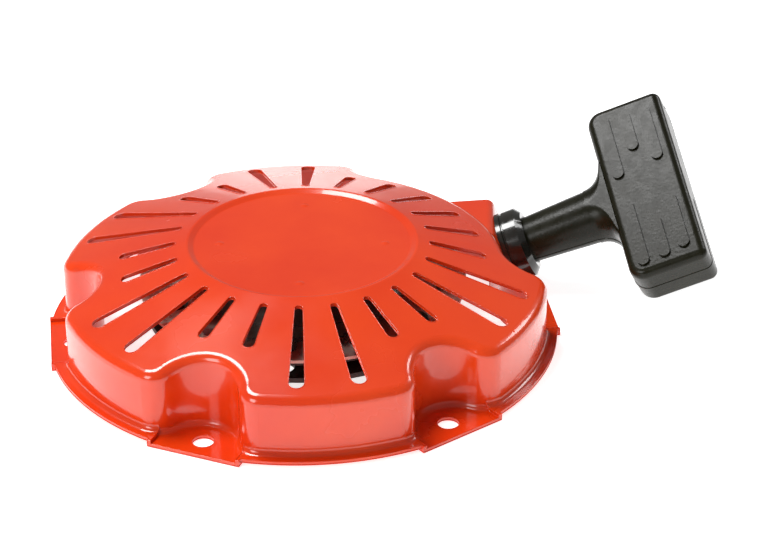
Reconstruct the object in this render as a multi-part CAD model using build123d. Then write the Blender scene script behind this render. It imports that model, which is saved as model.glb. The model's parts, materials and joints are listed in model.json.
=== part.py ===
"""Recoil starter for a small four-stroke engine, as an assembly of separate pieces.

A pressed-steel cover carries a welded centre post. On the post turns a rope reel with a flat spiral
return spring above it and two pawls below it, and a T-handle on the rope seats in a guide in the wall.

Frame, in millimetres: the origin is the centre of the bolt circle on the mounting face (z = 0), +Z runs
along the crank axis away from the engine, and +X runs through the pocket beside the rope guide.
"""
import os
from math import asin, atan2, cos, hypot, pi, radians, sin

from build123d import *

# ---------------------------------------------------------------- driving dimensions: cover
SHEET = 1.2                    # steel of the cover
LIP_RADIUS = 97.0              # outside of the flat lip round the foot of the wall
WALL_RADIUS = 92.8             # outside of the lobes
LIP_LIFT = 1.3                 # the lip is pressed this far above the mounting face
POCKETS = 6                    # bolt pockets, one every 60 degrees from +X
POCKET_CENTRE = 92.0           # distance of a pocket's round back from the axis
POCKET_RADIUS = 15.0
LOBE_CORNER = 8.0              # vertical rounding between a lobe and a pocket
TOP_ROUND = 4.0                # rounding between the top and the wall
FOOT_ROUND = 2.4               # hollow rounding between the wall and the lip or ear
FOOT_REACH = 8.0               # height up to which the foot is drawn
EAR_HALF_WIDTH = 17.9
EAR_EDGE = 96.5                # straight outer edge of an ear, from the axis
BOLT_CIRCLE = 176.0
BOLT_HOLE_RADIUS = 4.0

DISC_RADIUS = 41.0             # flat recessed centre
DISC_TOP = 37.4
RIM_RISE = 1.3                 # the vented ring's inner edge stands this far above the disc
RIM_WIDTH = 2.4                # run of the slope between disc and rim
DOME_SLOPE = 0.28              # fall of the vented ring per millimetre of radius

SLOTS = 24
SLOT_INNER = 47.7              # distance of a slot's inner end from the axis
SHORT_SLOT_OUTER = 69.5
LONG_SLOT_OUTER = 87.0
SLOT_SHARE = 0.034             # half width of a slot per millimetre of radius
WELD_MARK_CIRCLE = 31.2        # four spot-weld marks on the disc
WELD_MARK_RADIUS = 1.7
WELD_MARK_RISE = 0.35
WELD_MARK_TURN = -7.5

# ---------------------------------------------------------------- driving dimensions: rope guide
ROPE_TILT = 23.0               # the rope leaves upwards by this many degrees
ROPE_SWING = -9.0              # and turned from +X by this many about +Z
GUIDE_X = 83.4                 # centre of the guide on the outside of the housing's end wall
GUIDE_Y = 25.3
GUIDE_Z = 15.7
HOUSING_NEAR_SIDE = 12.2       # y of the housing's side next to the pocket
HOUSING_FAR_SIDE = 44.5
HOUSING_ROUND = 3.6
GUIDE_RADIUS = 14.0
GUIDE_LENGTH = 10.0
GUIDE_NECK = 7.6
GUIDE_BORE = 4.6
GUIDE_SEAT_DEPTH = 6.0
GUIDE_CLIP_RADIUS = 9.4
GUIDE_CLIP_THICKNESS = 1.6
ROPE_BEND = 1.0                # the rope bends at this distance outside the guide's seat
ROPE_BEND_RADIUS = 9.0

# ---------------------------------------------------------------- driving dimensions: moving parts
POST_RADIUS = 7.0
RUNNING_CLEARANCE = 0.05       # radial, shaft in bush
FREE_CLEARANCE = 0.3           # between pieces that pass without touching
BUSH_WALL = 1.6
REEL_BOTTOM = 12.3
FLANGE = 2.0
FLANGE_RADIUS = 60.0
ROPE_RADIUS = 2.0
DRUM_RADIUS = 28.0
ROPE_TURNS = 5
SPRING_CASE_RADIUS = 38.0
SPRING_CASE_WALL = 2.0
SPRING_CASE_TOP = 34.0
SPRING_STRIP = 0.6
SPRING_HEIGHT = 7.0
SPRING_INNER = 9.6
SPRING_TURNS = 8
LUG_WIDTH = 2.0                # lugs that hold the spring's two ends
REEL_PLATE_RADIUS = 62.0
REEL_PLATE_THICKNESS = 1.2
WINDOW_CIRCLE = 52.0           # six holes through both flanges
WINDOW_RADIUS = 5.0
RIVET_CIRCLE = 54.0
RIVET_RADIUS = 1.5
CORE_INNER = 12.5              # twelve moulded hollows in the drum's underside
CORE_OUTER = 25.0
CORE_WIDTH = 4.2
CORE_DEPTH = 5.0
KNOT_RADIUS = 4.1
KNOT_CIRCLE = 23.3

PAWL_CIRCLE = 20.0             # distance of the pawl pins from the axis
PAWL_PIN_RADIUS = 2.5
PAWL_LENGTH = 17.0
PAWL_ROOT = 5.6
PAWL_TIP = 2.4
PAWL_BOTTOM = 6.8
PAWL_THICKNESS = 3.8
PAWL_REST = -20.0              # direction of a folded pawl, from the pin along +X
PAWL_SWING = 35.0
PEG_RADIUS = 1.5
PEG_REACH = 9.0                # distance of the drive peg from the pawl's pin
PLATE_TURN = 20.0              # turn of the guide plate that swings the pawls fully out
PLATE_RADIUS = 28.0
PLATE_BOTTOM = 4.8
PLATE_THICKNESS = 1.4
SLEEVE_RADIUS = 6.5
SCREW_RADIUS = 3.0

# ---------------------------------------------------------------- driving dimensions: handle
HANDLE_ROLL = 32.8             # the grip face leans this far towards -Y about the rope
STEM_NOSE_RADIUS = 8.8
STEM_ROOT_RADIUS = 10.8
GRIP_REACH = 60.4              # distance of the bar's centre from the guide's seat face
BAR_LENGTH = 77.0
BAR_DEPTH = 30.5               # size of the bar along the rope
BAR_THICKNESS = 22.5
BAR_ROUND = 3.2                # rounding of the bar's edges and outer corners
BAR_INNER_ROUND = 6.0          # rounding of its corners on the stem's side
ROOT_ROUND = 9.0               # flare between stem and bar
RIB_HALF_WIDTH = 2.3
RIB_RISE = 1.0
RIBS = ((-8.5, 5.5, 4.3), (0.0, 15.5, 4.8), (8.0, 8.0, 6.0))    # place along the rope, start, gap to the bar's end
CAP_RADIUS = 8.0
CAP_THICKNESS = 2.2
WELL_RADIUS = 6.5              # well for the knot, behind the cap
WELL_DEPTH = 12.0

# ---------------------------------------------------------------- sizes that follow from those
REEL_RUN = REEL_BOTTOM + FLANGE
GROOVE = 2 * ROPE_RADIUS + 1.4
ROPE_LEVEL = REEL_RUN + GROOVE / 2
REEL_TOP_FLANGE = REEL_RUN + GROOVE + FLANGE
ROPE_OUTER = DRUM_RADIUS + (2 * ROPE_TURNS - 1) * ROPE_RADIUS
DISC_UNDERSIDE = DISC_TOP - SHEET
ANCHOR_BOTTOM = DISC_UNDERSIDE - SHEET
SPRING_BOTTOM = SPRING_CASE_TOP - SPRING_HEIGHT - FREE_CLEARANCE
CASE_FLOOR = SPRING_BOTTOM - FREE_CLEARANCE
CASE_INSIDE = SPRING_CASE_RADIUS - SPRING_CASE_WALL
SPRING_STEP = (CASE_INSIDE - SPRING_INNER - SPRING_STRIP) / (2 * SPRING_TURNS)
SPRING_OUTER = SPRING_INNER + (2 * SPRING_TURNS - 2) * SPRING_STEP
RIM_RADIUS = DISC_RADIUS + RIM_WIDTH
HOUSING_TOP = DISC_TOP + RIM_RISE - DOME_SLOPE * (POCKET_CENTRE - POCKET_RADIUS - RIM_RADIUS)
POST_BOTTOM = REEL_BOTTOM - FREE_CLEARANCE
PLATE_TOP = PLATE_BOTTOM + PLATE_THICKNESS
KNOT_SEAT = BAR_DEPTH / 2 - WELL_DEPTH + SHEET
BACK_WALL = POCKET_CENTRE - POCKET_RADIUS
LIP_TOP = LIP_LIFT + SHEET
ROPE_DIRECTION = Vector(1, 0, 0).rotate(Axis.Y, -ROPE_TILT).rotate(Axis.Z, ROPE_SWING)
GUIDE_SEAT = Vector(GUIDE_X, GUIDE_Y, GUIDE_Z)


def ring(outer, inner, bottom, height):
    """A flat ring about the Z axis."""
    return extrude(Pos(0, 0, bottom) * (Circle(outer) - Circle(inner)), height)


def disc(radius, bottom, height):
    """A flat disc about the Z axis."""
    return extrude(Pos(0, 0, bottom) * Circle(radius), height)


def around(count, first=0.0):
    """Angles of a full pattern, in degrees."""
    return [first + 360.0 * step / count for step in range(count)]


def at_polar(radius, angle):
    """The place at this distance and angle in the XY plane."""
    return Pos(radius * cos(radians(angle)), radius * sin(radians(angle)), 0)


# ================================================================ cover
def cover_plan(inset):
    """Outline of the cover's wall seen along the axis, moved in by inset. One lobe is left out."""
    plan = Circle(WALL_RADIUS - inset)
    for angle in around(POCKETS):
        plan -= at_polar(POCKET_CENTRE, angle) * Circle(POCKET_RADIUS + inset)
    corners = [(0, 0)] + [(2 * WALL_RADIUS * cos(radians(angle)), 2 * WALL_RADIUS * sin(radians(angle)))
                          for angle in (0, 360 / POCKETS)]
    missing_lobe = make_face(Polyline(*corners, close=True)) - Circle(BACK_WALL - inset)
    plan -= missing_lobe
    lobe_ends = [v for v in plan.vertices() if hypot(v.X, v.Y) > WALL_RADIUS - inset - 0.01]
    return fillet(lobe_ends, LOBE_CORNER - inset)


def dome(inset):
    """Solid under the cover's top face: recessed disc, rim and sloping vented ring."""
    rim_top = DISC_TOP + RIM_RISE - inset
    far = LIP_RADIUS + 10
    profile = Polyline(
        (0, -1), (far, -1), (far, rim_top - DOME_SLOPE * (far - RIM_RADIUS)),
        (RIM_RADIUS, rim_top), (DISC_RADIUS, DISC_TOP - inset), (0, DISC_TOP - inset), close=True)
    solid = revolve(Plane.XZ * make_face(profile), Axis.Z)
    for radius in (RIM_RADIUS, DISC_RADIUS):
        bend = [e for e in solid.edges().filter_by(GeomType.CIRCLE) if abs(e.radius - radius) < 0.01]
        solid = fillet(bend, RIM_WIDTH / 2)
    return solid


def cover_block(inset):
    """The cover's main form as a solid: wall outline under the dome, with a rounded top edge."""
    block = extrude(Pos(0, 0, -1) * cover_plan(inset), DISC_TOP + 10) & dome(inset)
    limit = POCKET_CENTRE - POCKET_RADIUS - 8
    low = DISC_TOP - DOME_SLOPE * WALL_RADIUS
    top = [e for e in block.edges() if e.center().Z > low and hypot((e @ 0.5).X, (e @ 0.5).Y) > limit
           and (e @ 0).Z > low and (e @ 1).Z > low]
    return fillet(top, TOP_ROUND - inset)


def behind_end_wall(inset):
    """Everything on the cover's side of the housing's tilted end wall, as a large box."""
    size = 400
    place = Plane(origin=GUIDE_SEAT - ROPE_DIRECTION * inset, z_dir=ROPE_DIRECTION)
    return place.location * Pos(0, 0, -size / 2) * Box(size, size, size)


def guide_housing(inset):
    """The level-topped box that takes the place of one lobe and carries the rope guide."""
    width = HOUSING_FAR_SIDE - HOUSING_NEAR_SIDE - 2 * inset
    window = Pos(POCKET_CENTRE, HOUSING_NEAR_SIDE + inset) * Rectangle(
        2 * LIP_RADIUS, width, align=(Align.CENTER, Align.MIN))
    plan = (Circle(WALL_RADIUS - inset) & window) - Circle(BACK_WALL - 12)
    solid = extrude(Pos(0, 0, -1) * plan, HOUSING_TOP - inset + 1) & behind_end_wall(inset)
    sharp = [e for e in solid.edges() if hypot((e @ 0.5).X, (e @ 0.5).Y) > BACK_WALL - 4 and (e @ 0.5).Z > 1
             and (e @ 0.5).X > 0]
    return fillet(sharp, HOUSING_ROUND - inset)


def cover_form(inset):
    """Main form and guide housing together."""
    return cover_block(inset) + guide_housing(inset)


def rounded_foot():
    """Foot of the wall on the lip, with the hollow rounding between them."""
    foot = extrude(Pos(0, 0, -1) * cover_plan(0), FOOT_REACH + 1) + disc(LIP_RADIUS, -1, LIP_TOP + 1)
    bend = [e for e in foot.edges() if abs((e @ 0.5).Z - LIP_TOP) < 0.01 and abs((e @ 0).Z - LIP_TOP) < 0.01
            and hypot((e @ 0.5).X, (e @ 0.5).Y) < WALL_RADIUS + 0.01]
    return fillet(bend, FOOT_ROUND)


def ear_blanks(bottom, height, half_width, edge=EAR_EDGE):
    """One block for each bolt ear, from the axis out to its straight edge."""
    blank = Pos(0, 0, bottom + height / 2) * Box(
        edge, 2 * half_width, height, align=(Align.MIN, Align.CENTER, Align.CENTER))
    return [Rot(0, 0, angle) * blank for angle in around(POCKETS)]


def slot_cutter(outer):
    """One tapered slot with round ends, lying along +X."""
    small = SLOT_SHARE * SLOT_INNER
    large = SLOT_SHARE * outer
    ends = [Pos(SLOT_INNER + small, 0) * Circle(small), Pos(outer - large, 0) * Circle(large)]
    return extrude(make_hull([e for end in ends for e in end.edges()]), 2 * DISC_TOP)


def is_long_slot(angle):
    """Slots on a lobe are long, those behind a pocket or on the guide housing are short."""
    pitch = 360.0 / POCKETS
    lobe = int(angle // pitch)
    from_middle = abs(angle - (lobe + 0.5) * pitch)
    return from_middle < 360.0 / SLOTS and lobe != 0


def make_cover():
    """The whole pressing: form, lip, ears with their risers, holes, slots and weld marks."""
    foot = rounded_foot()
    risers = ear_blanks(0, LIP_TOP, EAR_HALF_WIDTH)
    below = disc(2 * LIP_RADIUS, -5, 5 + LIP_LIFT)
    for riser in risers:
        below -= riser
    lip = foot
    low_foot = Pos(0, 0, -LIP_LIFT) * foot
    shell = cover_form(0) - below
    for riser in risers:
        lip += riser
    for gap in ear_blanks(-1, FOOT_REACH, EAR_HALF_WIDTH - SHEET, 2 * LIP_RADIUS):
        lip -= gap
    shell += lip - below
    for ear in ear_blanks(0, FOOT_REACH - LIP_LIFT, EAR_HALF_WIDTH - SHEET):
        shell += low_foot & ear
    for corner in ear_blanks(0, SHEET, EAR_HALF_WIDTH - SHEET):
        shell += corner
    shell -= cover_form(SHEET)
    for angle in around(POCKETS):
        shell -= at_polar(BOLT_CIRCLE / 2, angle) * Cylinder(BOLT_HOLE_RADIUS, 4 * SHEET)
    cutters = {True: slot_cutter(LONG_SLOT_OUTER), False: slot_cutter(SHORT_SLOT_OUTER)}
    for angle in around(SLOTS, 360.0 / SLOTS / 2):
        shell -= Rot(0, 0, angle) * cutters[is_long_slot(angle)]
    mark_sphere = (WELD_MARK_RADIUS ** 2 + WELD_MARK_RISE ** 2) / (2 * WELD_MARK_RISE)
    cap = Pos(0, 0, DISC_TOP + WELD_MARK_RISE - mark_sphere) * Sphere(mark_sphere)
    cap &= disc(WELD_MARK_RADIUS + 1, DISC_TOP - SHEET / 2, SHEET)
    for angle in around(4, WELD_MARK_TURN):
        shell += at_polar(WELD_MARK_CIRCLE, angle) * cap
    hole = Plane(origin=GUIDE_SEAT, z_dir=ROPE_DIRECTION).location * Cylinder(GUIDE_NECK, 6 * SHEET)
    return shell - hole


# ================================================================ pieces fixed in the cover
def make_anchor_plate():
    """Zinc-plated plate welded under the disc, which the post is riveted into."""
    return ring(DISC_RADIUS - 5, POST_RADIUS, ANCHOR_BOTTOM, SHEET)


def make_centre_post():
    """Post that everything turns on, with a lug that holds the return spring's inner end."""
    post = disc(POST_RADIUS, POST_BOTTOM, DISC_UNDERSIDE - POST_BOTTOM)
    reach = SPRING_INNER - SPRING_STRIP / 2 - POST_RADIUS - FREE_CLEARANCE / 2
    post += Pos(POST_RADIUS + reach / 2 - 0.5, 0, SPRING_BOTTOM + SPRING_HEIGHT / 2) * Box(
        reach + 1, LUG_WIDTH, SPRING_HEIGHT)
    return post - disc(SCREW_RADIUS, POST_BOTTOM, DISC_UNDERSIDE - POST_BOTTOM - 6)


def make_screw_sleeve():
    """Shoulder sleeve that the screw clamps to the post: its rim holds the reel up."""
    sleeve = disc(SLEEVE_RADIUS, PLATE_BOTTOM - 0.6, POST_BOTTOM - PLATE_BOTTOM + 0.6)
    sleeve += disc(POST_RADIUS + 4, POST_BOTTOM - 0.9, 0.9)
    return sleeve - disc(SCREW_RADIUS, PLATE_BOTTOM - 1, POST_BOTTOM)


def make_plate_washer():
    return ring(SLEEVE_RADIUS + 3, SCREW_RADIUS, PLATE_BOTTOM - 1.4, 0.8)


def make_friction_spring():
    """Spring ring between washer and guide plate: its drag holds the plate while the reel turns."""
    return ring(SLEEVE_RADIUS + 2.6, SLEEVE_RADIUS + 0.7, PLATE_BOTTOM - 0.6, 0.6)


def make_centre_screw():
    head_top = PLATE_BOTTOM - 1.4
    head = extrude(Pos(0, 0, head_top - 2.4) * RegularPolygon(SLEEVE_RADIUS - 0.7, 6), 2.4)
    head = head + disc(SLEEVE_RADIUS + 0.3, head_top - 0.6, 0.6)
    return head + disc(SCREW_RADIUS, head_top, 18)


def guide_place(distance=0.0):
    """Frame on the guide's axis, at this distance outside its seat face, turned with the handle."""
    level = Vector(0, 0, 1).cross(ROPE_DIRECTION).normalized()
    rise = ROPE_DIRECTION.cross(level)
    across = level * cos(radians(HANDLE_ROLL)) + rise * sin(radians(HANDLE_ROLL))
    return Plane(origin=GUIDE_SEAT + ROPE_DIRECTION * distance, x_dir=across, z_dir=ROPE_DIRECTION).location


def make_rope_guide():
    """Moulded bush the rope runs through, with a seat for the handle's nose."""
    mouth = STEM_NOSE_RADIUS + FREE_CLEARANCE + 0.2
    seat = GUIDE_LENGTH - GUIDE_SEAT_DEPTH
    outline = Polyline(
        (GUIDE_BORE, -SHEET), (GUIDE_NECK, -SHEET), (GUIDE_NECK, 0), (GUIDE_RADIUS, 0),
        (GUIDE_RADIUS, 1.8), (GUIDE_RADIUS - 0.6, 2.1), (GUIDE_RADIUS - 0.6, 2.5), (GUIDE_RADIUS, 2.8),
        (GUIDE_RADIUS, GUIDE_LENGTH - 2.2), (GUIDE_RADIUS - 2.5, GUIDE_LENGTH), (mouth + 0.6, GUIDE_LENGTH),
        (mouth, GUIDE_LENGTH - 0.6), (mouth, seat), (GUIDE_BORE, seat), close=True)
    bush = revolve(Plane.XZ * make_face(outline), Axis.Z)
    return guide_place() * bush


def make_guide_clip():
    """Snap ring behind the wall that keeps the bush in."""
    clip = ring(GUIDE_CLIP_RADIUS, GUIDE_BORE + 2.4, -SHEET - GUIDE_CLIP_THICKNESS, GUIDE_CLIP_THICKNESS)
    return guide_place() * clip


# ================================================================ reel
def make_reel():
    bore = POST_RADIUS + RUNNING_CLEARANCE + BUSH_WALL
    reel = disc(FLANGE_RADIUS, REEL_BOTTOM, FLANGE)
    reel += disc(DRUM_RADIUS, REEL_BOTTOM, REEL_TOP_FLANGE - REEL_BOTTOM)
    reel += disc(FLANGE_RADIUS, REEL_TOP_FLANGE - FLANGE, FLANGE)
    reel += disc(SPRING_CASE_RADIUS, REEL_TOP_FLANGE, SPRING_CASE_TOP - REEL_TOP_FLANGE)
    reel -= disc(CASE_INSIDE, CASE_FLOOR, SPRING_CASE_TOP)
    lug_reach = CASE_INSIDE - SPRING_OUTER - SPRING_STRIP / 2
    reel += Pos(-CASE_INSIDE + lug_reach / 2 - 0.5, 0, (CASE_FLOOR + SPRING_CASE_TOP) / 2) * Box(
        lug_reach + 1, LUG_WIDTH, SPRING_CASE_TOP - CASE_FLOOR)
    reel -= disc(bore, 0, 2 * SPRING_CASE_TOP)
    for angle in around(6, 15):
        reel -= at_polar(WINDOW_CIRCLE, angle) * Cylinder(WINDOW_RADIUS, 4 * SPRING_CASE_TOP)
    for angle in around(12):
        core = at_polar((CORE_INNER + CORE_OUTER) / 2, angle)
        reel -= core * Rot(0, 0, angle) * Pos(0, 0, REEL_BOTTOM) * Box(
            CORE_OUTER - CORE_INNER, CORE_WIDTH, 2 * CORE_DEPTH)
    for side in (1, -1):
        pin = Pos(0, side * PAWL_CIRCLE, 0)
        reel += pin * disc(PAWL_PIN_RADIUS + 2, REEL_BOTTOM, CORE_DEPTH)
        reel -= pin * Cylinder(PAWL_PIN_RADIUS, 2 * REEL_RUN)
    return reel - knot_pocket(KNOT_RADIUS + FREE_CLEARANCE)


def knot_pocket(radius):
    """Pocket in the drum for the knot, open to the rope groove."""
    pocket = Pos(-KNOT_CIRCLE, 0, ROPE_LEVEL) * Cylinder(radius, GROOVE)
    return pocket + Pos(-DRUM_RADIUS, 0, ROPE_LEVEL) * Box(2 * radius, 2 * ROPE_RADIUS + 0.6, GROOVE)


def make_reel_bush():
    inner = POST_RADIUS + RUNNING_CLEARANCE
    return ring(inner + BUSH_WALL, inner, REEL_BOTTOM, CASE_FLOOR - REEL_BOTTOM)


def make_reel_plate():
    """Zinc-plated stiffening plate on the reel's upper flange."""
    plate = ring(REEL_PLATE_RADIUS, SPRING_CASE_RADIUS, REEL_TOP_FLANGE, REEL_PLATE_THICKNESS)
    for angle in around(6, 15):
        plate -= at_polar(WINDOW_CIRCLE, angle) * Cylinder(WINDOW_RADIUS + 1, 2 * SPRING_CASE_TOP)
    for angle in around(6, 45):
        plate -= at_polar(RIVET_CIRCLE, angle) * Cylinder(RIVET_RADIUS, 2 * SPRING_CASE_TOP)
    return plate


def make_reel_rivets():
    """Six rivets that hold the plate on the upper flange, as one group."""
    top = REEL_TOP_FLANGE + REEL_PLATE_THICKNESS
    rivet = disc(RIVET_RADIUS, REEL_TOP_FLANGE, REEL_PLATE_THICKNESS) + disc(2 * RIVET_RADIUS, top, 0.9)
    return Compound(children=[at_polar(RIVET_CIRCLE, angle) * rivet for angle in around(6, 45)])


def make_wound_rope():
    """Outer shape of the rope turns that fill the groove."""
    return ring(ROPE_OUTER - ROPE_RADIUS - FREE_CLEARANCE, DRUM_RADIUS, ROPE_LEVEL - ROPE_RADIUS,
                2 * ROPE_RADIUS)


def make_reel_knot():
    """Stopper knot on the rope's inner end, in its pocket in the drum."""
    knot = Pos(-KNOT_CIRCLE, 0, ROPE_LEVEL) * Sphere(KNOT_RADIUS)
    return knot & disc(FLANGE_RADIUS, ROPE_LEVEL - ROPE_RADIUS, 2 * ROPE_RADIUS)


def make_recoil_spring():
    """Flat spiral strip, drawn as half circles about two centres half a pitch apart."""
    inner_edges, outer_edges = [], []
    for half_turn in range(2 * SPRING_TURNS - 1):
        even = half_turn % 2 == 0
        centre = (0, 0) if even else (SPRING_STEP, 0)
        start = 0 if even else 180
        radius = SPRING_INNER + half_turn * SPRING_STEP
        inner_edges.append(CenterArc(centre, radius - SPRING_STRIP / 2, start, 180))
        outer_edges.append(CenterArc(centre, radius + SPRING_STRIP / 2, start, 180))
    caps = [Line(inner_edges[0] @ 0, outer_edges[0] @ 0), Line(inner_edges[-1] @ 1, outer_edges[-1] @ 1)]
    strip = make_face(inner_edges + outer_edges + caps)
    return extrude(Pos(0, 0, SPRING_BOTTOM) * strip, SPRING_HEIGHT)


# ================================================================ pawls and guide plate
def make_pawl_pins():
    pin = disc(PAWL_PIN_RADIUS, PAWL_BOTTOM, REEL_RUN - PAWL_BOTTOM)
    return Compound(children=[Pos(0, side * PAWL_CIRCLE, 0) * pin for side in (1, -1)])


def make_pawl_springs():
    """Small coils round the pins that fold the pawls back, each with a leg along its pawl."""
    bottom = PAWL_BOTTOM + PAWL_THICKNESS + 0.2
    height = REEL_BOTTOM - bottom
    coil = ring(PAWL_PIN_RADIUS + 1.5, PAWL_PIN_RADIUS, bottom, height)
    leg = Rot(0, 0, PAWL_REST) * Pos(8, -PAWL_PIN_RADIUS - 1.1, bottom + height / 2) * Box(13, 0.8, height)
    spring = Pos(0, PAWL_CIRCLE, 0) * (coil + leg)
    return Compound(children=[Rot(0, 0, turn) * spring for turn in (0, 180)])


def make_pawl():
    """Ratchet pawl on the +Y pin, folded, with its drive peg below."""
    tip = (PAWL_LENGTH * cos(radians(PAWL_REST)), PAWL_LENGTH * sin(radians(PAWL_REST)))
    ends = [Circle(PAWL_ROOT), Pos(*tip) * Circle(PAWL_TIP)]
    lever = extrude(Pos(0, 0, PAWL_BOTTOM) * make_hull([e for end in ends for e in end.edges()]),
                    PAWL_THICKNESS)
    lever -= Cylinder(PAWL_PIN_RADIUS + RUNNING_CLEARANCE, 4 * PAWL_BOTTOM)
    share = PEG_REACH / PAWL_LENGTH
    lever += Pos(tip[0] * share, tip[1] * share, PLATE_BOTTOM) * Cylinder(
        PEG_RADIUS, PAWL_BOTTOM - PLATE_BOTTOM, align=(Align.CENTER, Align.CENTER, Align.MIN))
    return Pos(0, PAWL_CIRCLE, 0) * lever


def peg_path(steps=8):
    """Places of the peg seen from the guide plate while the pawl swings and the plate turns."""
    places = []
    for step in range(steps + 1):
        share = step / steps
        swing = radians(PAWL_REST + PAWL_SWING * share)
        x, y = PEG_REACH * cos(swing), PAWL_CIRCLE + PEG_REACH * sin(swing)
        angle = atan2(y, x) - radians(PLATE_TURN) * share
        places.append((hypot(x, y) * cos(angle), hypot(x, y) * sin(angle)))
    return places


def make_guide_plate():
    """Friction plate: two curved slots steer the pawls' pegs."""
    plate = ring(PLATE_RADIUS, SLEEVE_RADIUS + RUNNING_CLEARANCE, PLATE_BOTTOM, PLATE_THICKNESS)
    places = peg_path()
    cutter = None
    for first, second in zip(places, places[1:]):
        ends = [Pos(*spot) * Circle(PEG_RADIUS + 0.5) for spot in (first, second)]
        piece = extrude(Pos(0, 0, PLATE_BOTTOM - 1) * make_hull([e for end in ends for e in end.edges()]), 5)
        cutter = piece if cutter is None else cutter + piece
    for turn in (0, 180):
        plate -= Rot(0, 0, turn) * cutter
    return plate


# ================================================================ handle and rope
def root_flare(steps=5):
    """Smooth change of section from the round stem to the wide bar."""
    low = -BAR_DEPTH / 2
    sections = []
    for step in range(steps + 1):
        turn = radians(86.0 * step / steps)
        half_width = STEM_ROOT_RADIUS + ROOT_ROUND * (1 - cos(turn))
        half_height = STEM_ROOT_RADIUS - 0.1
        corner = half_height - 0.2 - (half_height - BAR_ROUND - 0.4) * (1 - cos(turn))
        place = Pos(0, 0, low - ROOT_ROUND * (1 - sin(turn)) + (0.8 if step == steps else 0))
        sections.append(place * RectangleRounded(2 * half_width, 2 * half_height, corner))
    return loft(sections)


def make_handle_grip():
    """T-handle: a bar with a flared stem, ribs on both faces, and a well for the knot."""
    low = -BAR_DEPTH / 2
    outline = Rectangle(BAR_LENGTH, BAR_DEPTH)
    outline = fillet(outline.vertices().group_by(Axis.Y)[0], BAR_INNER_ROUND)
    outline = fillet(outline.vertices().group_by(Axis.Y)[-1], BAR_ROUND)
    solid = extrude(Plane.XZ * outline, BAR_THICKNESS / 2, both=True)
    faces = solid.faces().group_by(Axis.Y)
    solid = fillet(faces[0].edges() + faces[-1].edges(), BAR_ROUND - 0.2)
    nose = GUIDE_LENGTH - GUIDE_SEAT_DEPTH + FREE_CLEARANCE - GRIP_REACH
    flare_start = low - ROOT_ROUND
    stem = Pos(0, 0, nose) * Cone(STEM_NOSE_RADIUS, STEM_ROOT_RADIUS - 0.2, flare_start + 0.4 - nose,
                                  align=(Align.CENTER, Align.CENTER, Align.MIN))
    solid += root_flare() + stem
    for place, start, gap in RIBS:
        end = BAR_LENGTH / 2 - gap
        rib = extrude(SlotOverall(end - start, 2 * RIB_HALF_WIDTH), RIB_RISE, both=True)
        for side in (1, -1):
            for face in (1, -1):
                middle = Pos(side * (start + end) / 2, face * BAR_THICKNESS / 2, place)
                solid += middle * Rot(90, 0, 0) * rib
    solid -= Pos(0, 0, BAR_DEPTH / 2 - CAP_THICKNESS / 2) * Cylinder(CAP_RADIUS, CAP_THICKNESS)
    solid -= Pos(0, 0, BAR_DEPTH / 2 - WELL_DEPTH / 2) * Cylinder(WELL_RADIUS, WELL_DEPTH)
    return guide_place(GRIP_REACH) * (solid - Cylinder(ROPE_RADIUS + FREE_CLEARANCE, 4 * GRIP_REACH))


def make_handle_insert():
    """Steel ring in the bottom of the well that the knot pulls against."""
    bottom = BAR_DEPTH / 2 - WELL_DEPTH
    return guide_place(GRIP_REACH) * ring(WELL_RADIUS, ROPE_RADIUS + FREE_CLEARANCE, bottom, SHEET)


def make_handle_cap():
    """Snap-in cap over the well."""
    return guide_place(GRIP_REACH) * disc(CAP_RADIUS, BAR_DEPTH / 2 - CAP_THICKNESS, CAP_THICKNESS)


def make_handle_knot():
    """Stopper knot on the rope's outer end."""
    knot = Pos(0, 0, KNOT_SEAT + 0.8 * KNOT_RADIUS) * Sphere(KNOT_RADIUS)
    return guide_place(GRIP_REACH) * (knot & disc(CAP_RADIUS, KNOT_SEAT, 2 * KNOT_RADIUS))


def make_rope_lead():
    """Rope from the reel's outer turn through the guide to the knot in the handle."""
    bend = GUIDE_SEAT + ROPE_DIRECTION * ROPE_BEND
    angle = atan2(bend.Y, bend.X) + pi / 2 - asin(ROPE_OUTER / hypot(bend.X, bend.Y))
    start = Vector(ROPE_OUTER * cos(angle), ROPE_OUTER * sin(angle), ROPE_LEVEL)
    end = GUIDE_SEAT + ROPE_DIRECTION * (GRIP_REACH + KNOT_SEAT)
    path = FilletPolyline(start, bend, end, radius=ROPE_BEND_RADIUS)
    section = Plane(origin=path @ 0, z_dir=path % 0) * Circle(ROPE_RADIUS)
    return sweep(section, path)


# ================================================================ write every piece
PIECES = {
    "cover": make_cover,
    "anchor_plate": make_anchor_plate,
    "centre_post": make_centre_post,
    "screw_sleeve": make_screw_sleeve,
    "plate_washer": make_plate_washer,
    "friction_spring": make_friction_spring,
    "centre_screw": make_centre_screw,
    "rope_guide": make_rope_guide,
    "guide_clip": make_guide_clip,
    "reel": make_reel,
    "reel_bush": make_reel_bush,
    "reel_plate": make_reel_plate,
    "reel_rivets": make_reel_rivets,
    "wound_rope": make_wound_rope,
    "reel_knot": make_reel_knot,
    "recoil_spring": make_recoil_spring,
    "pawl_pins": make_pawl_pins,
    "pawl_springs": make_pawl_springs,
    "pawl_a": make_pawl,
    "pawl_b": lambda: Rot(0, 0, 180) * make_pawl(),
    "guide_plate": make_guide_plate,
    "handle_grip": make_handle_grip,
    "handle_insert": make_handle_insert,
    "handle_cap": make_handle_cap,
    "handle_knot": make_handle_knot,
    "rope_lead": make_rope_lead,
}

os.makedirs("parts", exist_ok=True)
for name, make in PIECES.items():
    export_step(make(), os.path.join("parts", name + ".step"))
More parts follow.
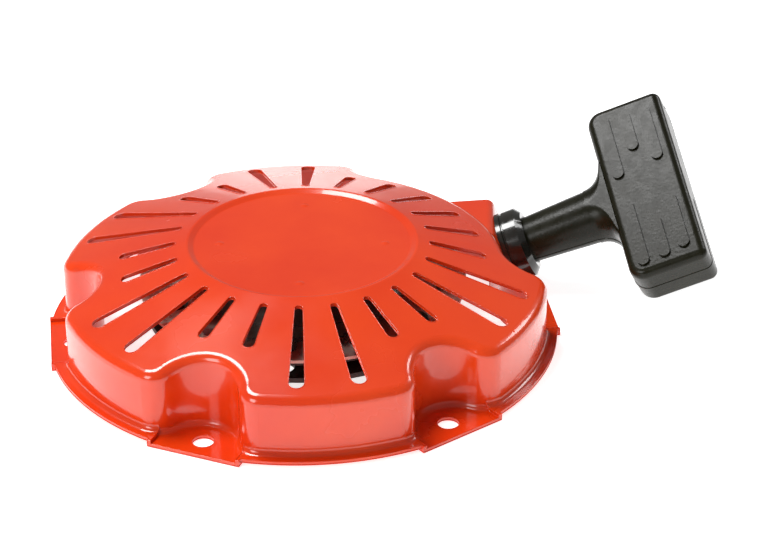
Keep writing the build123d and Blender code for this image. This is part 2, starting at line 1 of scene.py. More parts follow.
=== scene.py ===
# %% [markdown]
# # A recoil starter in Blender
# The starter's pieces come from a solid model as finished meshes that are never moved. This lesson gives each
# of them its finish and adds what a solid model leaves plain: rope with a braid, rounded paint along the cut
# edges, the seam of the moulded handle and coiled wire springs.

# %% Load the frame
import json
from math import asin, atan2, cos, pi, radians, sin

import bmesh
import bpy
from mathutils import Matrix, Vector


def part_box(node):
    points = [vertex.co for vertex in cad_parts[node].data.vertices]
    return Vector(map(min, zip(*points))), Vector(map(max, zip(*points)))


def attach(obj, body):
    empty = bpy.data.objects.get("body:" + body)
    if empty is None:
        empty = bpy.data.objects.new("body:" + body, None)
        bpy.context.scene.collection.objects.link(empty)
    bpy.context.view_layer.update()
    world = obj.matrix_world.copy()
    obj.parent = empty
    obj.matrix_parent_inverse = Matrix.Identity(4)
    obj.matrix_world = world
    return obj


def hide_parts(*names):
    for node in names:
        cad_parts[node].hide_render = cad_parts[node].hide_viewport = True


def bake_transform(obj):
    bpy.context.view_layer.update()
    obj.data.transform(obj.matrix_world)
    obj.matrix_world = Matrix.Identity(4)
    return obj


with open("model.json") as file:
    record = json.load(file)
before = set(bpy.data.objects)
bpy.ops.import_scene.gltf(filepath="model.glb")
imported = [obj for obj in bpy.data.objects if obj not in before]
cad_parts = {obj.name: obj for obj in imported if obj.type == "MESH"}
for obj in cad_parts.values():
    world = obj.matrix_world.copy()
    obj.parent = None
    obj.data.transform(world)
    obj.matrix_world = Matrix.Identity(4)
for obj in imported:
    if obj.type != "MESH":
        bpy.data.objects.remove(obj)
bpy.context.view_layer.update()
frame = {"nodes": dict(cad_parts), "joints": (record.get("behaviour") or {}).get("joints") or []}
nodes = frame["nodes"]
MM = 0.001
print("pieces from the solid model:", len(nodes))

# %% [markdown]
# ## Where things are
# Lengths are read from the pieces themselves, so a piece made here fits the one it stands for. The rope leaves
# along the handle's sliding joint, and that joint's axis is the direction of the rope.

# %% Read the places
joints = {joint["name"]: joint for joint in frame["joints"]}
ROPE_AXIS = Vector(joints["handle_pull"]["axis"]).normalized()
GUIDE_SEAT = Vector(joints["handle_twist"]["pos_m"])
lead_low, lead_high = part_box("rope_lead")
wound_low, wound_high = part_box("wound_rope")
ROPE_LEVEL = (wound_low.z + wound_high.z) / 2
ROPE_RADIUS = (wound_high.z - wound_low.z) / 2
WOUND_RADIUS = wound_high.x
print("rope radius in mm:", round(ROPE_RADIUS / MM, 2))


def along_rope(distance):
    """The point on the guide's axis at this distance outside the guide's seat."""
    return GUIDE_SEAT + ROPE_AXIS * distance


# %% [markdown]
# ## Camera
# A long lens from a little under a metre keeps the circle of the cover nearly free of perspective. The camera
# looks down at about thirty degrees and stands a little to the left.

# %% Place the camera
VIEW_TURN = radians(-7.5)
VIEW_RISE = radians(29.0)
VIEW_DISTANCE = 0.93
VIEW_TARGET = Vector((0.0305, 0.0074, 0.0151))
VIEW_ROLL = radians(-0.2)
away = Vector((sin(VIEW_TURN) * cos(VIEW_RISE), -cos(VIEW_TURN) * cos(VIEW_RISE), sin(VIEW_RISE)))
camera_data = bpy.data.cameras.new("camera")
camera_data.lens = 114.2
camera_data.sensor_width = 36.0
camera = bpy.data.objects.new("camera", camera_data)
bpy.context.scene.collection.objects.link(camera)
camera.location = VIEW_TARGET + away * VIEW_DISTANCE
turned = (-away).to_track_quat("-Z", "Y").to_matrix().to_4x4()
camera.rotation_euler = (turned @ Matrix.Rotation(VIEW_ROLL, 4, "Z")).to_euler()
bpy.context.scene.camera = camera
print("camera at", [round(value, 3) for value in camera.location])

# %% [markdown]
# ## Helpers for shader nodes
# Every finish is one Principled shader. Numbers that are the same all over are set on the shader's own
# sockets, and only what changes over the surface comes in through a link from a shared node group.

# %% Make a material


def new_finish(name, colour, roughness, metallic=0.0, **sockets):
    """A material with one Principled shader, and the parts needed to add links to it."""
    material = bpy.data.materials.new(name)
    material.use_nodes = True
    shader = material.node_tree.nodes["Principled BSDF"]
    shader.inputs["Base Color"].default_value = (*colour, 1.0)
    shader.inputs["Roughness"].default_value = roughness
    shader.inputs["Metallic"].default_value = metallic
    for socket, value in sockets.items():
        shader.inputs[socket.replace("_", " ")].default_value = value
    return material, shader


def place_group(material, group, **values):
    """Puts a node group in a material and sets its inputs."""
    node = material.node_tree.nodes.new("ShaderNodeGroup")
    node.node_tree = group
    for socket, value in values.items():
        node.inputs[socket.replace("_", " ")].default_value = value
    return node


def new_group(name, inputs, outputs):
    """An empty node group with named sockets: its tree, its input node and its output node."""
    tree = bpy.data.node_groups.new(name, "ShaderNodeTree")
    for socket, kind, value in inputs:
        made = tree.interface.new_socket(socket, in_out="INPUT", socket_type=kind)
        if value is not None:
            made.default_value = value
    for socket, kind in outputs:
        tree.interface.new_socket(socket, in_out="OUTPUT", socket_type=kind)
    return tree, tree.nodes.new("NodeGroupInput"), tree.nodes.new("NodeGroupOutput")


FLOAT = "NodeSocketFloat"
COLOUR = "NodeSocketColor"
VECTOR = "NodeSocketVector"


def calculate(tree, operation, first, second=None):
    """A Math node whose inputs are sockets or plain numbers; returns its output socket."""
    node = tree.nodes.new("ShaderNodeMath")
    node.operation = operation
    for socket, value in zip(node.inputs, (first, second)):
        if value is None:
            continue
        if isinstance(value, (int, float)):
            socket.default_value = value
        else:
            tree.links.new(value, socket)
    return node.outputs[0]


def noise(tree, size, detail=2.0):
    """Noise over Object coordinates with features of this many metres; returns its value socket."""
    place = tree.nodes.new("ShaderNodeTexCoord").outputs["Object"]
    texture = tree.nodes.new("ShaderNodeTexNoise")
    texture.inputs["Detail"].default_value = detail
    tree.links.new(place, texture.inputs["Vector"])
    if isinstance(size, (int, float)):
        texture.inputs["Scale"].default_value = 1.0 / size
    else:
        tree.links.new(calculate(tree, "DIVIDE", 1.0, size), texture.inputs["Scale"])
    return texture.outputs[0]


# %% [markdown]
# ## Shared effects
# Sprayed enamel is never quite flat: it has a fine waviness called orange peel. Moulded rubber and plastic
# carry the grain of their mould. Both are a noise turned into a normal, at different sizes and depths.

# %% Group: waviness of a surface
surface_wave, wave_in, wave_out = new_group(
    "surface_wave", [("Size", FLOAT, 0.003), ("Depth", FLOAT, 0.00002)], [("Normal", VECTOR)])
wave_bump = surface_wave.nodes.new("ShaderNodeBump")
wave_bump.inputs["Strength"].default_value = 1.0
surface_wave.links.new(noise(surface_wave, wave_in.outputs["Size"]), wave_bump.inputs["Height"])
surface_wave.links.new(wave_in.outputs["Depth"], wave_bump.inputs["Distance"])
surface_wave.links.new(wave_bump.outputs["Normal"], wave_out.inputs["Normal"])
print("group:", surface_wave.name)

# %% [markdown]
# Handling leaves patches that are a little duller. A slow noise, spread between two limits, gives a roughness
# that varies over the piece.

# %% Group: uneven gloss
uneven_gloss, gloss_in, gloss_out = new_group(
    "uneven_gloss", [("Size", FLOAT, 0.02), ("Low", FLOAT, 0.2), ("High", FLOAT, 0.4)], [("Roughness", FLOAT)])
gloss_range = uneven_gloss.nodes.new("ShaderNodeMapRange")
gloss_range.inputs["From Min"].default_value = 0.35
gloss_range.inputs["From Max"].default_value = 0.65
uneven_gloss.links.new(noise(uneven_gloss, gloss_in.outputs["Size"], 4.0), gloss_range.inputs["Value"])
uneven_gloss.links.new(gloss_in.outputs["Low"], gloss_range.inputs["To Min"])
uneven_gloss.links.new(gloss_in.outputs["High"], gloss_range.inputs["To Max"])
uneven_gloss.links.new(gloss_range.outputs["Result"], gloss_out.inputs["Roughness"])
print("group:", uneven_gloss.name)

# %% [markdown]
# A base colour drifts a little as well: enamel is thinner near bends, rubber blooms, plating stains. The group
# mixes two colours by a slow noise.

# %% Group: two-tone colour
two_tone, tone_in, tone_out = new_group(
    "two_tone", [("Size", FLOAT, 0.03), ("First", COLOUR, None), ("Second", COLOUR, None)], [("Color", COLOUR)])
tone_mix = two_tone.nodes.new("ShaderNodeMix")
tone_mix.data_type = "RGBA"
tone_spread = two_tone.nodes.new("ShaderNodeMapRange")
tone_spread.inputs["From Min"].default_value = 0.35
tone_spread.inputs["From Max"].default_value = 0.65
two_tone.links.new(noise(two_tone, tone_in.outputs["Size"], 5.0), tone_spread.inputs["Value"])
two_tone.links.new(tone_spread.outputs["Result"], tone_mix.inputs["Factor"])
two_tone.links.new(tone_in.outputs["First"], tone_mix.inputs[6])
two_tone.links.new(tone_in.outputs["Second"], tone_mix.inputs[7])
two_tone.links.new(tone_mix.outputs[2], tone_out.inputs["Color"])
print("group:", two_tone.name)

# %% [markdown]
# Turned pieces carry rings about their axis. The distance from the crank axis, run through a one-dimensional
# noise, gives rings of uneven depth.

# %% Group: turned rings
turned_rings, rings_in, rings_out = new_group(
    "turned_rings", [("Pitch", FLOAT, 0.0004), ("Depth", FLOAT, 0.00001)], [("Normal", VECTOR)])
rings_place = turned_rings.nodes.new("ShaderNodeSeparateXYZ")
turned_rings.links.new(turned_rings.nodes.new("ShaderNodeTexCoord").outputs["Object"], rings_place.inputs[0])
rings_square = [calculate(turned_rings, "MULTIPLY", rings_place.outputs[axis], rings_place.outputs[axis])
                for axis in ("X", "Y")]
rings_radius = calculate(turned_rings, "SQRT", calculate(turned_rings, "ADD", *rings_square))
rings_noise = turned_rings.nodes.new("ShaderNodeTexNoise")
rings_noise.noise_dimensions = "1D"
turned_rings.links.new(calculate(turned_rings, "DIVIDE", rings_radius, rings_in.outputs["Pitch"]),
                       rings_noise.inputs["W"])
rings_bump = turned_rings.nodes.new("ShaderNodeBump")
turned_rings.links.new(rings_noise.outputs[0], rings_bump.inputs["Height"])
turned_rings.links.new(rings_in.outputs["Depth"], rings_bump.inputs["Distance"])
turned_rings.links.new(rings_bump.outputs["Normal"], rings_out.inputs["Normal"])
print("group:", turned_rings.name)

# %% [markdown]
# ## Braid
# Starter rope is a tube of strands that cross left over right. Two waves that climb round the rope in opposite
# directions, with the higher of the two on top, draw the crossing bundles. The second output darkens the low
# parts between the bundles, a painted shade in the grooves of the braid. Along is a length in metres and Around
# runs from nought to one round the rope.

# %% Group: braid
braid, braid_in, braid_out = new_group(
    "braid", [("Along", FLOAT, 0.0), ("Around", FLOAT, 0.0), ("Pitch", FLOAT, 0.009), ("Strands", FLOAT, 6.0)],
    [("Height", FLOAT), ("Painted Shade", FLOAT)])
climb = calculate(braid, "DIVIDE", braid_in.outputs["Along"], braid_in.outputs["Pitch"])
strand_waves = []
for sense in ("ADD", "SUBTRACT"):
    phase = calculate(braid, sense, climb, braid_in.outputs["Around"])
    turns = calculate(braid, "MULTIPLY", calculate(braid, "MULTIPLY", phase, braid_in.outputs["Strands"]), pi)
    strand_waves.append(calculate(braid, "ABSOLUTE", calculate(braid, "SINE", turns)))
braid_height = calculate(braid, "MAXIMUM", *strand_waves)
braid.links.new(braid_height, braid_out.inputs["Height"])
# Painted shade: the cube of the height keeps the tops light and darkens the low parts between the strands.
braid.links.new(calculate(braid, "POWER", braid_height, 3.0), braid_out.inputs["Painted Shade"])
print("group:", braid.name)

# %% [markdown]
# ## Red enamel
# The cover is pressed steel under baked enamel: a saturated red-orange under a clear, hard gloss. A clear coat
# over a slightly rougher body gives the sharp highlights along the bends and the pale reflections on the walls.

# %% Enamel
ENAMEL_RED = (0.72, 0.036, 0.002)
ENAMEL_ORANGE = (0.80, 0.054, 0.003)
enamel, enamel_shader = new_finish(
    "red_enamel", ENAMEL_RED, 0.22, Coat_Weight=0.6, Coat_Roughness=0.04, Coat_IOR=1.5, IOR=1.45)
enamel_tone = place_group(enamel, two_tone, Size=0.05, First=(*ENAMEL_RED, 1), Second=(*ENAMEL_ORANGE, 1))
enamel_wave = place_group(enamel, surface_wave, Size=0.0035, Depth=0.000012)
enamel_gloss = place_group(enamel, uneven_gloss, Size=0.03, Low=0.16, High=0.28)
enamel.node_tree.links.new(enamel_tone.outputs["Color"], enamel_shader.inputs["Base Color"])
enamel.node_tree.links.new(enamel_wave.outputs["Normal"], enamel_shader.inputs["Normal"])
enamel.node_tree.links.new(enamel_wave.outputs["Normal"], enamel_shader.inputs["Coat Normal"])
enamel.node_tree.links.new(enamel_gloss.outputs["Roughness"], enamel_shader.inputs["Roughness"])

# %% [markdown]
# ## Metals
# Zinc plating is a bright, faintly yellow metal that stains in patches. Turned pieces show rings, and spring
# strip keeps the dark blue of its heat treatment under a film of oil.

# %% Metals


def metal(name, light, dark, smooth, rough, size=0.012, rings=False):
    """A stained metal between two colours and two roughnesses, with turned rings or a fine waviness."""
    material, shader = new_finish(name, light, smooth, metallic=1.0)
    tone = place_group(material, two_tone, Size=size, First=(*light, 1), Second=(*dark, 1))
    gloss = place_group(material, uneven_gloss, Size=size / 2, Low=smooth, High=rough)
    if rings:
        relief = place_group(material, turned_rings, Pitch=0.0003, Depth=0.00001)
    else:
        relief = place_group(material, surface_wave, Size=0.0012, Depth=0.00001)
    material.node_tree.links.new(tone.outputs["Color"], shader.inputs["Base Color"])
    material.node_tree.links.new(gloss.outputs["Roughness"], shader.inputs["Roughness"])
    material.node_tree.links.new(relief.outputs["Normal"], shader.inputs["Normal"])
    return material


zinc = metal("zinc_plating", (0.78, 0.76, 0.69), (0.62, 0.59, 0.50), 0.22, 0.42)
turned_steel = metal("turned_steel", (0.62, 0.62, 0.63), (0.50, 0.50, 0.51), 0.18, 0.34, rings=True)
spring_steel = metal("blued_spring_steel", (0.20, 0.22, 0.27), (0.12, 0.12, 0.14), 0.22, 0.40)
pawl_steel = metal("sintered_steel", (0.33, 0.32, 0.31), (0.24, 0.23, 0.22), 0.38, 0.55, size=0.004)
print("metals: 4")

# %% [markdown]
# ## Plastics and rubber
# The guide is moulded in gloss black, the reel in satin nylon and its bush in natural acetal. The handle is
# a firm rubber, nearly black with an olive cast where light falls on it, with a soft sheen of wear.

# %% Plastics and rubber


def moulded(name, colour, second, low, high, grain, depth, **sockets):
    """A moulded finish: two close colours, uneven gloss and the grain of the mould."""
    material, shader = new_finish(name, colour, low, **sockets)
    tone = place_group(material, two_tone, Size=0.015, First=(*colour, 1), Second=(*second, 1))
    gloss = place_group(material, uneven_gloss, Size=0.004, Low=low, High=high)
    relief = place_group(material, surface_wave, Size=grain, Depth=depth)
    material.node_tree.links.new(tone.outputs["Color"], shader.inputs["Base Color"])
    material.node_tree.links.new(gloss.outputs["Roughness"], shader.inputs["Roughness"])
    material.node_tree.links.new(relief.outputs["Normal"], shader.inputs["Normal"])
    return material


guide_plastic = moulded("gloss_black_plastic", (0.010, 0.009, 0.007), (0.016, 0.014, 0.010), 0.10, 0.24,
                        0.002, 0.00001, Coat_Weight=0.5, Coat_Roughness=0.05)
reel_plastic = moulded("satin_black_nylon", (0.014, 0.014, 0.013), (0.024, 0.023, 0.020), 0.34, 0.5,
                       0.0008, 0.00002)
bush_plastic = moulded("natural_acetal", (0.72, 0.69, 0.60), (0.64, 0.61, 0.52), 0.3, 0.45, 0.001, 0.00001)
handle_rubber = moulded("olive_black_rubber", (0.008, 0.0078, 0.003), (0.012, 0.0115, 0.005), 0.24, 0.32,
                        0.0011, 0.00004, Specular_IOR_Level=0.22)
print("mouldings: 4")

# %% [markdown]
# ## Rope finishes
# The same braid serves two pieces. On the wound rope it follows the piece's own UV map. On the stretch to the
# handle it is worked out from the place along and around the rope's axis, so that the braid keeps its size
# when the rope is drawn out.

# %% Rope finishes
# The dark rope colour is painted into the low parts of the braid as painted shade; on the knot it is one of two
# tones that drift at random.
ROPE_DARK_AND_GROOVE_SHADE = (0.012, 0.011, 0.010)
ROPE_LIGHT = (0.085, 0.078, 0.062)


def rope_finish(name):
    """A braided finish whose Along and Around inputs are still to be linked; returns both."""
    material, shader = new_finish(name, ROPE_LIGHT, 0.62, Sheen_Weight=0.25, Sheen_Roughness=0.4)
    tree = material.node_tree
    weave = place_group(material, braid)
    # The braid's height mixes the dark colour into its grooves: painted shade between the strands.
    painted_shade_mix = tree.nodes.new("ShaderNodeMix")
    painted_shade_mix.data_type = "RGBA"
    painted_shade_mix.inputs[6].default_value = (*ROPE_DARK_AND_GROOVE_SHADE, 1)
    painted_shade_mix.inputs[7].default_value = (*ROPE_LIGHT, 1)
    bump = tree.nodes.new("ShaderNodeBump")
    bump.inputs["Distance"].default_value = 0.0004
    tree.links.new(weave.outputs["Painted Shade"], painted_shade_mix.inputs["Factor"])
    tree.links.new(painted_shade_mix.outputs[2], shader.inputs["Base Color"])
    tree.links.new(weave.outputs["Height"], bump.inputs["Height"])
    tree.links.new(bump.outputs["Normal"], shader.inputs["Normal"])
    return material, weave


wound_finish, wound_weave = rope_finish("braided_rope_wound")
wound_uv = wound_finish.node_tree.nodes.new("ShaderNodeUVMap")
wound_split = wound_finish.node_tree.nodes.new("ShaderNodeSeparateXYZ")
wound_finish.node_tree.links.new(wound_uv.outputs["UV"], wound_split.inputs[0])
wound_finish.node_tree.links.new(wound_split.outputs["X"], wound_weave.inputs["Along"])
wound_finish.node_tree.links.new(wound_split.outputs["Y"], wound_weave.inputs["Around"])

lead_finish, lead_weave = rope_finish("braided_rope_lead")
lead_tree = lead_finish.node_tree
lead_mapping = lead_tree.nodes.new("ShaderNodeMapping")
lead_mapping.vector_type = "TEXTURE"
lead_mapping.inputs["Location"].default_value = GUIDE_SEAT
lead_mapping.inputs["Rotation"].default_value = ROPE_AXIS.to_track_quat("Z", "Y").to_euler()
lead_split = lead_tree.nodes.new("ShaderNodeSeparateXYZ")
lead_tree.links.new(lead_tree.nodes.new("ShaderNodeTexCoord").outputs["Object"], lead_mapping.inputs["Vector"])
lead_tree.links.new(lead_mapping.outputs["Vector"], lead_split.inputs[0])
lead_angle = calculate(lead_tree, "ARCTAN2", lead_split.outputs["Y"], lead_split.outputs["X"])
lead_tree.links.new(calculate(lead_tree, "DIVIDE", lead_angle, 2 * pi), lead_weave.inputs["Around"])
lead_tree.links.new(lead_split.outputs["Z"], lead_weave.inputs["Along"])

knot_finish = moulded("rope_knot", ROPE_DARK_AND_GROOVE_SHADE, ROPE_LIGHT, 0.55, 0.75, 0.0012, 0.0003, Sheen_Weight=0.25)
print("rope finishes: 3")

# %% [markdown]
# ## Finishes on the solid model's pieces
# Each piece keeps its mesh and takes a finish in all its material slots.

# %% Assign the finishes
FINISHES = {
    "cover": enamel,
    "anchor_plate": zinc,
    "centre_post": turned_steel,
    "screw_sleeve": turned_steel,
    "plate_washer": zinc,
    "friction_spring": spring_steel,
    "centre_screw": zinc,
    "rope_guide": guide_plastic,
    "guide_clip": guide_plastic,
    "reel": reel_plastic,
    "reel_bush": bush_plastic,
    "reel_plate": zinc,
    "reel_rivets": turned_steel,
    "wound_rope": wound_finish,
    "reel_knot": knot_finish,
    "recoil_spring": spring_steel,
    "pawl_pins": turned_steel,
    "pawl_springs": spring_steel,
    "pawl_a": pawl_steel,
    "pawl_b": pawl_steel,
    "guide_plate": zinc,
    "handle_grip": handle_rubber,
    "handle_insert": zinc,
    "handle_cap": handle_rubber,
    "handle_knot": knot_finish,
    "rope_lead": lead_finish,
}
for node_name, finish in FINISHES.items():
    mesh = nodes[node_name].data
    if not mesh.materials:
        mesh.materials.append(finish)
    for index in range(len(mesh.materials)):
        mesh.materials[index] = finish
print("finishes given:", len(FINISHES))

# %% [markdown]
# ## Helpers for new pieces
# A new piece is an object at the origin with its place in its mesh. It rides on a body and may stand for a
# piece of the solid model.

# %% Add a piece


def add_piece(name, mesh, finish, body=None, stands_for=()):
    """Links a mesh as a piece with its finish, slot and body."""
    mesh.materials.clear()
    mesh.materials.append(finish)
    piece = bpy.data.objects.new(name, mesh)
    bpy.context.scene.collection.objects.link(piece)
    if body:
        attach(piece, body)
    if stands_for:
        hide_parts(*stands_for)
    return piece


def smooth(mesh):
    """Smooth shading all over."""
    mesh.polygons.foreach_set("use_smooth", [True] * len(mesh.polygons))
    return mesh


def tube_mesh(name, lines, radius, sides=12, closed=False):
    """A round tube along each line of points, with a UV map of length along and share around."""
    curve = bpy.data.curves.new(name, "CURVE")
    curve.dimensions = "3D"
    curve.bevel_depth = radius
    curve.bevel_resolution = sides // 4 - 1
    curve.use_fill_caps = not closed
    for line in lines:
        spline = curve.splines.new("POLY")
        spline.points.add(len(line) - 1)
        for point, place in zip(spline.points, line):
            point.co = (*place, 1.0)
        spline.use_cyclic_u = closed
    holder = bpy.data.objects.new(name, curve)
    bpy.context.scene.collection.objects.link(holder)
    bpy.context.view_layer.update()
    mesh = bpy.data.meshes.new_from_object(holder.evaluated_get(bpy.context.evaluated_depsgraph_get()))
    bpy.data.objects.remove(holder)
    mesh.name = name
    return smooth(mesh)


# %% [markdown]
# ## Paint beads on the cut edges
# A die leaves sharp edges at slots, bolt holes and rim, and dipped or sprayed enamel draws back from them into
# a thin round bead that catches the light. The bead could be a bevel, but on a pressed shell of thin triangles
# a bevel tears. Here a copy of the cover is merged, its sharp edges are kept, and a thin tube runs along them.

# %% Sharp edges of a piece


def sharp_edges(node_name, least_turn):
    """A mesh of only the edges of a solid-model piece that turn by more than least_turn."""
    work = bmesh.new()
    work.from_mesh(nodes[node_name].data)
    bmesh.ops.remove_doubles(work, verts=work.verts, dist=1e-6)
    soft = [edge for edge in work.edges
            if len(edge.link_faces) != 2 or edge.calc_face_angle(0.0) < least_turn]
    bmesh.ops.delete(work, geom=soft, context="EDGES_FACES")
    loose = [vert for vert in work.verts if not vert.link_edges]
    bmesh.ops.delete(work, geom=loose, context="VERTS")
    bmesh.ops.delete(work, geom=work.faces[:], context="FACES_ONLY")
    return work


def edges_to_lines(work):
    """The chains of a mesh of edges as (points, closed), split wherever more than two edges meet."""
    left = set(work.edges)
    lines = []
    ends = [vert for vert in work.verts if len(vert.link_edges) != 2]
    for start in ends + list(work.verts):
        for first in start.link_edges:
            if first not in left:
                continue
            chain = [start]
            edge, vert = first, start
            while edge is not None:
                left.discard(edge)
                vert = edge.other_vert(vert)
                chain.append(vert)
                ahead = [other for other in vert.link_edges if other in left]
                edge = ahead[0] if len(vert.link_edges) == 2 and ahead else None
            closed = chain[0] is chain[-1]
            lines.append(([item.co.copy() for item in (chain[:-1] if closed else chain)], closed))
    return lines


# %% Paint beads
BEAD_RADIUS = 0.2 * MM
cut_edges = sharp_edges("cover", radians(55))
cut_lines = edges_to_lines(cut_edges)
cut_edges.free()
bead_work = bmesh.new()
for closed in (True, False):
    chosen = [line for line, is_closed in cut_lines if is_closed == closed and len(line) > 1]
    if chosen:
        part = tube_mesh("bead", chosen, BEAD_RADIUS, sides=8, closed=closed)
        bead_work.from_mesh(part)
bead_mesh = bpy.data.meshes.new("paint_beads")
bead_work.to_mesh(bead_mesh)
bead_work.free()
paint_beads = add_piece("paint_beads", smooth(bead_mesh), enamel, "cover")
print("paint beads along", len(cut_lines), "edges")

# %% [markdown]
# ## Rope on the reel
# The rope lies in one flat coil of several turns between the flanges. Its middle line is a spiral whose pitch
# is the rope's diameter, which a loop works out turn by turn, and a round tube follows it.

# %% Wound rope
TURN_STEPS = 72
ROPE_GAP = 0.1 * MM
DRUM_RADIUS = 28.0 * MM
turn_pitch = 2 * ROPE_RADIUS + ROPE_GAP
outer_turn = WOUND_RADIUS - ROPE_RADIUS
leave_angle = atan2(GUIDE_SEAT.y, GUIDE_SEAT.x) + pi / 2 - asin(outer_turn / GUIDE_SEAT.xy.length)
turn_count = int((WOUND_RADIUS - DRUM_RADIUS) / turn_pitch)
spiral = []
for step in range(turn_count * TURN_STEPS + 1):
    turned_by = step / TURN_STEPS
    reach = outer_turn - turn_pitch * turned_by
    angle = leave_angle + 2 * pi * turned_by
    spiral.append(Vector((reach * cos(angle), reach * sin(angle), ROPE_LEVEL)))
wound_mesh = tube_mesh("rope_turns", [spiral], ROPE_RADIUS - ROPE_GAP / 2, sides=16)
print("turns on the reel:", turn_count, "uv maps:", [layer.name for layer in wound_mesh.uv_layers])

# %% UV map of the wound rope


def map_spiral(mesh, pitch):
    """Length along and share around, worked out for each corner from its place about the crank axis."""
    layer = mesh.uv_layers.get("UVMap") or mesh.uv_layers.new(name="UVMap")
    for polygon in mesh.polygons:
        middle = polygon.center
        face_angle = atan2(middle.y, middle.x)
        for corner in polygon.loop_indices:
            place = mesh.vertices[mesh.loops[corner].vertex_index].co
            drift = atan2(place.y, place.x) - face_angle
            drift -= 2 * pi * round(drift / (2 * pi))
            turned_by = ((face_angle + drift - leave_angle) / (2 * pi))
            reach = outer_turn - turned_by * pitch
            offset = (place.xy.length - reach) / pitch
            offset -= round(offset)
            share = atan2(place.z - ROPE_LEVEL, offset * pitch) / (2 * pi)
            layer.data[corner].uv = (turned_by * 2 * pi * middle.xy.length, share)
    return mesh


map_spiral(wound_mesh, turn_pitch)
rope_turns = add_piece("rope_turns", wound_mesh, wound_finish, "reel", ["wound_rope"])

# %% [markdown]
# ## Rope to the handle
# From the outer turn the rope runs straight to the guide's seat, turns there and ends at the handle's
# knot. When the handle is pulled the knot slides away. This piece runs from the reel to the rope's end, and
# its rings stand close together in a short stretch just outside the guide's seat.

# %% Rope lead
lead_start = spiral[0]
lead_bend = GUIDE_SEAT.copy()
HANDLE_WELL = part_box("handle_insert")
lead_end = along_rope((HANDLE_WELL[1] - GUIDE_SEAT).dot(ROPE_AXIS) - 0.5 * MM)
BLEND_START = 1.0 * MM
BLEND_END = 3.8 * MM
BEND_REACH = 4.0 * MM
straight_share = 1 - BEND_REACH / (lead_bend - lead_start).length
lead_points = []
for step in range(13):
    lead_points.append(lead_start.lerp(lead_bend, step / 12 * straight_share))
bend_from = lead_points[-1]
for step in range(1, 9):
    share = step / 8
    lead_points.append(bend_from.lerp(lead_bend, share).lerp(lead_bend, share))
for step in range(1, 61):
    lead_points.append(along_rope(BLEND_START + (BLEND_END - BLEND_START) * step / 60))
for step in range(1, 13):
    lead_points.append(along_rope(BLEND_END).lerp(lead_end, step / 12))
lead_mesh = tube_mesh("rope_to_handle", [lead_points], ROPE_RADIUS - ROPE_GAP / 2, sides=16)
rope_to_handle = add_piece("rope_to_handle", lead_mesh, lead_finish, stands_for=["rope_lead"])
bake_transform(rope_to_handle)
print("rope to handle rings:", len(lead_points))

# %% [markdown]
# ## Seam of the handle
# The handle is moulded in two halves, and a fine ridge shows where they met, round the whole bar and along
# the stem. A copy of the grip is cut by the plane between the halves, and the outline of that cut, without
# the hidden outlines of the rope's bore and the knot's well, carries a thin bead.

# %% Direction of the handle's faces
HANDLE_ROLL = radians(32.8)
level_across = Vector((0, 0, 1)).cross(ROPE_AXIS).normalized()
BAR_AXIS = level_across * cos(HANDLE_ROLL) + ROPE_AXIS.cross(level_across) * sin(HANDLE_ROLL)
FACE_AXIS = ROPE_AXIS.cross(BAR_AXIS).normalized()

# %% Seam bead
seam_work = bmesh.new()
seam_work.from_mesh(nodes["handle_grip"].data)
bmesh.ops.remove_doubles(seam_work, verts=seam_work.verts, dist=1e-6)
seam_cut = bmesh.ops.bisect_plane(
    seam_work, geom=seam_work.verts[:] + seam_work.edges[:] + seam_work.faces[:], dist=1e-6,
    plane_co=GUIDE_SEAT, plane_no=FACE_AXIS)
kept = {item for item in seam_cut["geom_cut"] if isinstance(item, bmesh.types.BMEdge)}
bmesh.ops.delete(seam_work, geom=[edge for edge in seam_work.edges if edge not in kept], context="EDGES_FACES")
bmesh.ops.delete(seam_work, geom=seam_work.faces[:], context="FACES_ONLY")
seam_lines = [line for line, is_closed in edges_to_lines(seam_work) if is_closed or len(line) > 2]
seam_work.free()
BORE_REACH = 6.6 * MM
SEAM_RADIUS = 0.22 * MM
outer_lines = []
for line in seam_lines:
    across = max(abs((place - GUIDE_SEAT).dot(BAR_AXIS)) for place in line)
    if across > BORE_REACH:
        outer_lines.append(line)
seam_mesh = tube_mesh("handle_seam", outer_lines, SEAM_RADIUS, sides=8)
handle_seam = add_piece("handle_seam", seam_mesh, handle_rubber, "handle")
print("seam outlines:", len(outer_lines), "of", len(seam_lines))

# %% [markdown]
# ## Pawl springs
# Each pawl has a small torsion spring of round wire: a few coils round the pin and a leg along the pawl. A
# helix worked out by a loop, with a straight leg at its end, gives the wire's middle line.

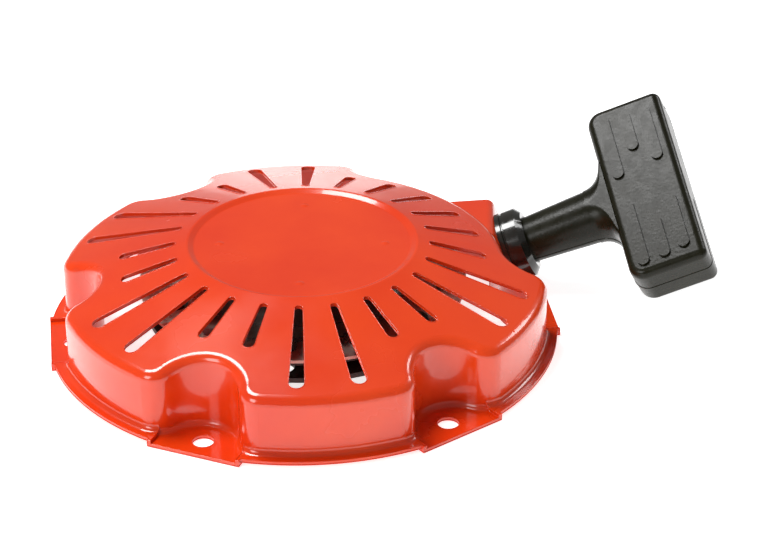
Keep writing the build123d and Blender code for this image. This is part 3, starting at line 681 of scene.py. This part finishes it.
# %% Pawl springs
WIRE_RADIUS = 0.22 * MM
COILS = 3
COIL_STEPS = 24
pawl_pivots = [Vector(joints[name]["pos_m"]) for name in ("pawl_a_swing", "pawl_b_swing")]
spring_low, spring_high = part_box("pawl_springs")
coil_height = spring_high.z - spring_low.z - 2 * WIRE_RADIUS
COIL_RADIUS = 3.0 * MM
wires = []
for number, pivot in enumerate(pawl_pivots):
    side = Matrix.Rotation(pi * number, 3, "Z")
    wire = []
    for step in range(COILS * COIL_STEPS + 1):
        angle = 2 * pi * step / COIL_STEPS - radians(110)
        rise = spring_low.z + WIRE_RADIUS + coil_height * step / (COILS * COIL_STEPS)
        wire.append(Vector((COIL_RADIUS * cos(angle), COIL_RADIUS * sin(angle), rise)))
    leg = Vector((cos(radians(-20)), sin(radians(-20)), 0)) * 10.0 * MM
    wire.append(wire[-1] + leg)
    wires.append([side @ place + Vector((pivot.x, pivot.y, 0)) for place in wire])
spring_mesh = tube_mesh("pawl_spring_wires", wires, WIRE_RADIUS, sides=8)
add_piece("pawl_spring_wires", spring_mesh, spring_steel, "reel", ["pawl_springs"])
print("pawl springs:", len(wires))

# %% [markdown]
# ## Floor, light and surroundings
# A white table carries the starter and glows a little, which keeps it white and lights the walls from below.
# One light stands above and behind on the left, a second at the front left and a third at the back right.
# The surroundings are dim, so that the enamel keeps its colour.

# %% Floor
TABLE_GAP = 0.3 * MM
floor_work = bmesh.new()
bmesh.ops.create_grid(floor_work, x_segments=1, y_segments=1, size=6.0)
floor_mesh = bpy.data.meshes.new("floor")
floor_work.to_mesh(floor_mesh)
floor_work.free()
floor_finish, floor_shader = new_finish("white_table", (0.93, 0.93, 0.93), 0.5)
floor_shader.inputs["Emission Color"].default_value = (1, 1, 1, 1)
floor_shader.inputs["Emission Strength"].default_value = 0.75
floor_mesh.materials.append(floor_finish)
floor = bpy.data.objects.new("floor", floor_mesh)
floor.location.z = -TABLE_GAP
bpy.context.scene.collection.objects.link(floor)

# %% Lights


def area_light(name, place, size, watts, aim=Vector((0.03, 0, 0.02))):
    """A square soft light at this place, turned to the object."""
    data = bpy.data.lights.new(name, "AREA")
    data.size = size
    data.energy = watts
    light = bpy.data.objects.new(name, data)
    bpy.context.scene.collection.objects.link(light)
    light.location = place
    light.rotation_euler = (aim - Vector(place)).to_track_quat("-Z", "Y").to_euler()
    return light


area_light("overhead", (-0.35, 0.25, 1.05), 0.45, 11.0)
area_light("front_left", (-1.1, -0.9, 0.7), 0.6, 8.0)
area_light("back_right", (1.3, 0.7, 0.9), 0.5, 6.0)

world = bpy.data.worlds.new("surroundings")
world.use_nodes = True
world.node_tree.nodes["Background"].inputs["Color"].default_value = (1.0, 1.0, 1.0, 1.0)
world.node_tree.nodes["Background"].inputs["Strength"].default_value = 0.22
bpy.context.scene.world = world
bpy.context.scene.view_settings.view_transform = "Standard"
